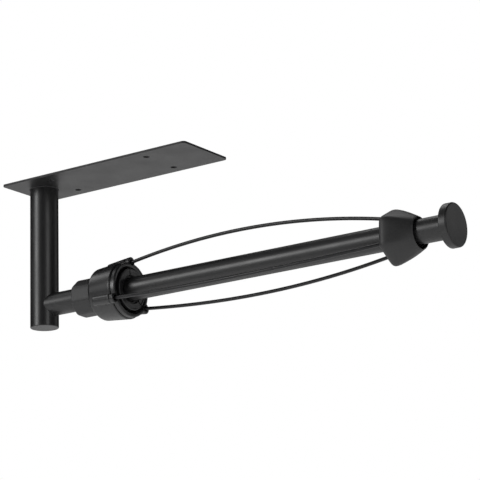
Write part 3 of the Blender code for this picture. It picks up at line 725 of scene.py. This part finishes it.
def make_nose():
    """The six-sided nose, which turns round towards its mouth, with a pocket in its back."""
    edge_steps, side_steps = 8, 24
    floor = NOSE_START + 2.0 * MM
    pocket = 12.9 * MM
    socket_depth, past_wire = 5.0 * MM, 0.3 * MM
    rings = []
    for i in range(edge_steps + 1):
        angle = math.pi / 2 * i / edge_steps
        flat = NOSE_FLAT_RADIUS - NOSE_EDGE * (1 - math.sin(angle))
        rings.append(circle(NOSE_START + NOSE_EDGE * (1 - math.cos(angle)),
                            soft_polygon(flat, NOSE_TURN, NOSE_SIDES), NOSE_Z, FINE_ROUND))
    lip = 0.3 * MM
    for i in range(side_steps + 1):
        share = i / side_steps
        flat = NOSE_FLAT_RADIUS + (NOSE_MOUTH_RADIUS - NOSE_FLAT_RADIUS) * share ** NOSE_TAPER
        rings.append(circle(NOSE_SHOULDER + (NOSE_END - lip - NOSE_SHOULDER) * share,
                            soft_polygon(flat, NOSE_TURN, NOSE_SIDES, share ** 1.5), NOSE_Z,
                            FINE_ROUND))
    back = ends("nose_liner")[1] + GAP
    front = back + NOSE_LIP_THICKNESS
    for along, radius in ((NOSE_END, NOSE_MOUTH_RADIUS - lip), (NOSE_END - lip, NOSE_HOLE_RADIUS),
                          (front, NOSE_HOLE_RADIUS), (front, NOSE_LIP_RADIUS),
                          (back, NOSE_LIP_RADIUS), (back, NOSE_BORE), (floor, NOSE_BORE),
                          (floor, pocket), (NOSE_START, pocket)):
        rings.append(circle(along, radius, NOSE_Z, FINE_ROUND))
    nose = add_object("nose", mesh_of(rings))
    for node in WIRE_NODES:
        bottom = WIRE_LINES[node][-1]
        cut(nose, rod(bottom - Vector((socket_depth, 0.0, 0.0)),
                      bottom + Vector((past_wire, 0.0, 0.0)), SOCKET_RADIUS))
    finish_piece(nose, GRAINED, "nose", ["nose_cone"])


def dress_cad_nodes():
    """Finished materials for the pieces that keep their CAD mesh."""
    looks = {"nose_back_plate": PLASTIC, "nose_liner": ACETAL, "thrust_washer": ACETAL,
             "wave_washer": ZINC, "sleeve_set_screw": ZINC, "knob_stud": ZINC,
             "bar_end_insert": ZINC, "damper_ring_back": RUBBER, "damper_ring_front": RUBBER}
    for node, look in looks.items():
        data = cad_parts[node].data
        data.materials.clear()
        data.materials.append(look)


# ---------------------------------------------------------------- stage, light and camera

FLOOR_Z = -0.62
FLOOR_REACH = 6.0
WASH_HEIGHT = 0.02
LIT_POINT = Vector((0.05, 0.0, -0.07))
LIGHT_DISTANCE = 1.6
WORLD_FILL = 0.01
CAMERA_PLACE = Vector((0.8304, -1.0537, -0.4106))
CAMERA_AZIMUTH = math.radians(34.523)
CAMERA_PITCH = math.radians(14.999)
CAMERA_ROLL = math.radians(-1.63)
CAMERA_LENS = 150.99
SENSOR_WIDTH = 36.0


def make_stage():
    """A pale paper floor below the object."""
    build = bmesh.new()
    bmesh.ops.create_grid(build, x_segments=8, y_segments=8, size=FLOOR_REACH)
    floor = add_object("floor", build)
    floor.location.z = FLOOR_Z
    look = Nodes("floor_paper")
    fibre = look.noise(60.0, 3.0)
    look.drive("Base Color", look.tint(fibre, (0.80, 0.80, 0.80), (0.83, 0.83, 0.83)))
    look.set(Roughness=0.9)
    floor.data.materials.append(look.material)


def add_light(name, azimuth, elevation, size, power):
    """Square soft box in a direction seen from the object; azimuth 0 is -Y and 90 is +X."""
    data = bpy.data.lights.new(name, "AREA")
    data.size = size
    data.energy = power
    light = bpy.data.objects.new(name, data)
    light.visible_camera = False
    bpy.context.scene.collection.objects.link(light)
    turn, rise = math.radians(azimuth), math.radians(elevation)
    away = Vector((math.sin(turn) * math.cos(rise), -math.cos(turn) * math.cos(rise),
                   math.sin(rise)))
    light.location = LIT_POINT + LIGHT_DISTANCE * away
    light.rotation_euler = (-away).to_track_quat("-Z", "Y").to_euler()


def wash_floor(power):
    """Even light on the whole floor, whose bounce lights the underside of the object."""
    data = bpy.data.lights.new("floor_wash", "AREA")
    data.size = 2 * FLOOR_REACH
    data.energy = power
    light = bpy.data.objects.new("floor_wash", data)
    light.visible_camera = False
    light.location.z = FLOOR_Z + WASH_HEIGHT
    bpy.context.scene.collection.objects.link(light)


def make_world():
    """A nearly dark world, which the camera sees as white."""
    world = bpy.data.worlds.new("studio")
    bpy.context.scene.world = world
    world.use_nodes = True
    tree = world.node_tree
    fill = tree.nodes["Background"]
    fill.inputs["Color"].default_value = (1.0, 1.0, 1.0, 1.0)
    fill.inputs["Strength"].default_value = WORLD_FILL
    white = tree.nodes.new("ShaderNodeBackground")
    white.inputs["Color"].default_value = (1.0, 1.0, 1.0, 1.0)
    white.inputs["Strength"].default_value = 1.0
    mix = tree.nodes.new("ShaderNodeMixShader")
    path = tree.nodes.new("ShaderNodeLightPath")
    tree.links.new(path.outputs["Is Camera Ray"], mix.inputs["Fac"])
    tree.links.new(fill.outputs["Background"], mix.inputs[1])
    tree.links.new(white.outputs["Background"], mix.inputs[2])
    tree.links.new(mix.outputs["Shader"], tree.nodes["World Output"].inputs["Surface"])


def make_camera():
    """The camera, turned from the level by its azimuth, pitch and roll."""
    data = bpy.data.cameras.new("camera")
    data.lens = CAMERA_LENS
    data.sensor_width = SENSOR_WIDTH
    camera = bpy.data.objects.new("camera", data)
    bpy.context.scene.collection.objects.link(camera)
    forward = Vector((-math.sin(CAMERA_AZIMUTH) * math.cos(CAMERA_PITCH),
                      math.cos(CAMERA_AZIMUTH) * math.cos(CAMERA_PITCH), math.sin(CAMERA_PITCH)))
    level = Vector((math.cos(CAMERA_AZIMUTH), math.sin(CAMERA_AZIMUTH), 0.0))
    lift = level.cross(forward)
    right = math.cos(CAMERA_ROLL) * level + math.sin(CAMERA_ROLL) * lift
    up = math.cos(CAMERA_ROLL) * lift - math.sin(CAMERA_ROLL) * level
    camera.matrix_world = (Matrix.Translation(CAMERA_PLACE)
                           @ Matrix((right, up, -forward)).transposed().to_4x4())
    bpy.context.scene.camera = camera


bpy.context.scene.view_settings.view_transform = "Standard"
make_camera()
make_stage()
make_world()
add_light("key", -30.0, 15.0, 0.55, 9.5)
add_light("left", -80.0, 40.0, 0.6, 2.7)
add_light("right", 66.0, 15.0, 0.55, 3.4)
add_light("edge", 150.0, 15.0, 0.5, 0.6)
add_light("back_high", 210.0, 70.0, 0.8, 5.2)
wash_floor(310.0)

make_plate()
make_post()
make_bar()
make_knob()
make_sleeve()
make_drum()
make_bezel()
make_retainer()
for wire_node in WIRE_NODES:
    make_wire(wire_node)
make_nose()
dress_cad_nodes()
